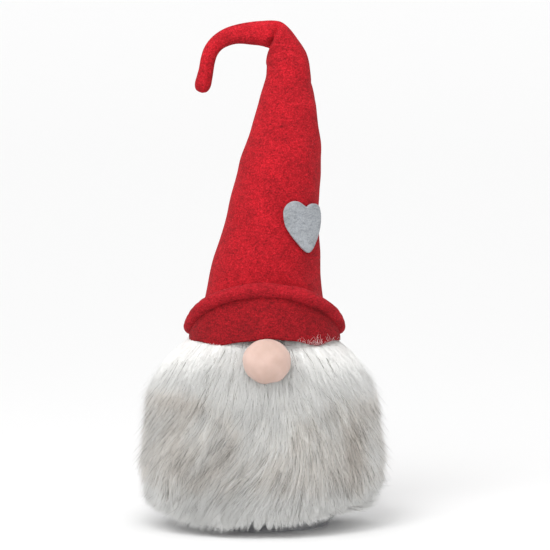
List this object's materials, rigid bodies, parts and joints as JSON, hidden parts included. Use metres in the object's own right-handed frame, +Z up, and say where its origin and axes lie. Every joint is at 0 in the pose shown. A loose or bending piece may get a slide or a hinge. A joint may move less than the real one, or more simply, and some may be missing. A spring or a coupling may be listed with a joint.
{
  "type": "tomte gnome figurine",
  "caption": "Standing Nordic gnome ornament: weighted felt body, long-pile beard, padded nose and a tall stuffed felt hat whose wired tip bends.",
  "frame": {"origin": "centre of the bounding box at the sole, on the surface that the figure stands on", "axes": "+Z up along the tall hat, -Y towards the nose and beard (the front), +X to the right as seen from the front"},
  "size_m": [0.2, 0.1598, 0.4022],
  "materials": {
    "grey_felt": "matte",
    "red_felt": "matte",
    "heart_felt": "matte",
    "beard_fur": "matte",
    "fur_backing": "matte",
    "nose_jersey": "matte",
    "cotton": "matte",
    "polyester_fill": "matte",
    "grit": "matte",
    "grey_board": "matte",
    "thread": "matte",
    "red_thread": "matte",
    "wire": "satin",
    "glue": "satin",
    "tape": "matte"
  },
  "bodies": {
    "gnome": {"sole_felt": "grey_felt", "base_board": "grey_board", "ballast_pouch": "cotton", "ballast_grit": "grit", "pouch_tie": "thread", "body_cover": "grey_felt", "body_back_seam": "thread", "body_stuffing": "polyester_fill", "neck_tie": "thread", "beard_backing": "fur_backing", "beard_pile": "beard_fur", "beard_stitches": "thread", "nose_cover": "nose_jersey", "nose_stuffing": "polyester_fill", "nose_gather_thread": "thread", "hat_band": "red_felt", "hat_roll": "red_felt", "roll_cord": "red_thread", "hat_cone_lower": "red_felt", "hat_stuffing_lower": "polyester_fill", "hat_wire_lower": "wire", "hat_back_seam_lower": "red_thread", "heart_patch": "heart_felt", "heart_glue": "glue"},
    "upper_hat": {"hat_cone_upper": "red_felt", "hat_stuffing_upper": "polyester_fill", "hat_wire_upper": "wire", "hat_back_seam_upper": "red_thread"},
    "folded_tip": {"hat_tip_fold": "red_felt", "tip_fold_stuffing": "polyester_fill", "tip_fold_wire": "wire"},
    "curled_tip": {"hat_tip_curl": "red_felt", "tip_curl_stuffing": "polyester_fill", "tip_curl_wire": "wire", "wire_end_tape": "tape"}
  },
  "joints": [
    {"name": "hat_bend", "type": "hinge", "parent": "gnome", "child": "upper_hat", "pos_m": [0.015, 0.013, 0.292], "axis": [0, 1, 0], "range_deg": [-20, 20]},
    {"name": "tip_fold", "type": "hinge", "parent": "upper_hat", "child": "folded_tip", "pos_m": [0.014, 0.013, 0.384], "axis": [0, 1, 0], "range_deg": [-18, 55]},
    {"name": "tip_curl", "type": "hinge", "parent": "folded_tip", "child": "curled_tip", "pos_m": [-0.036, 0.013, 0.385], "axis": [0, 1, 0], "range_deg": [-22, 32]}
  ]
}
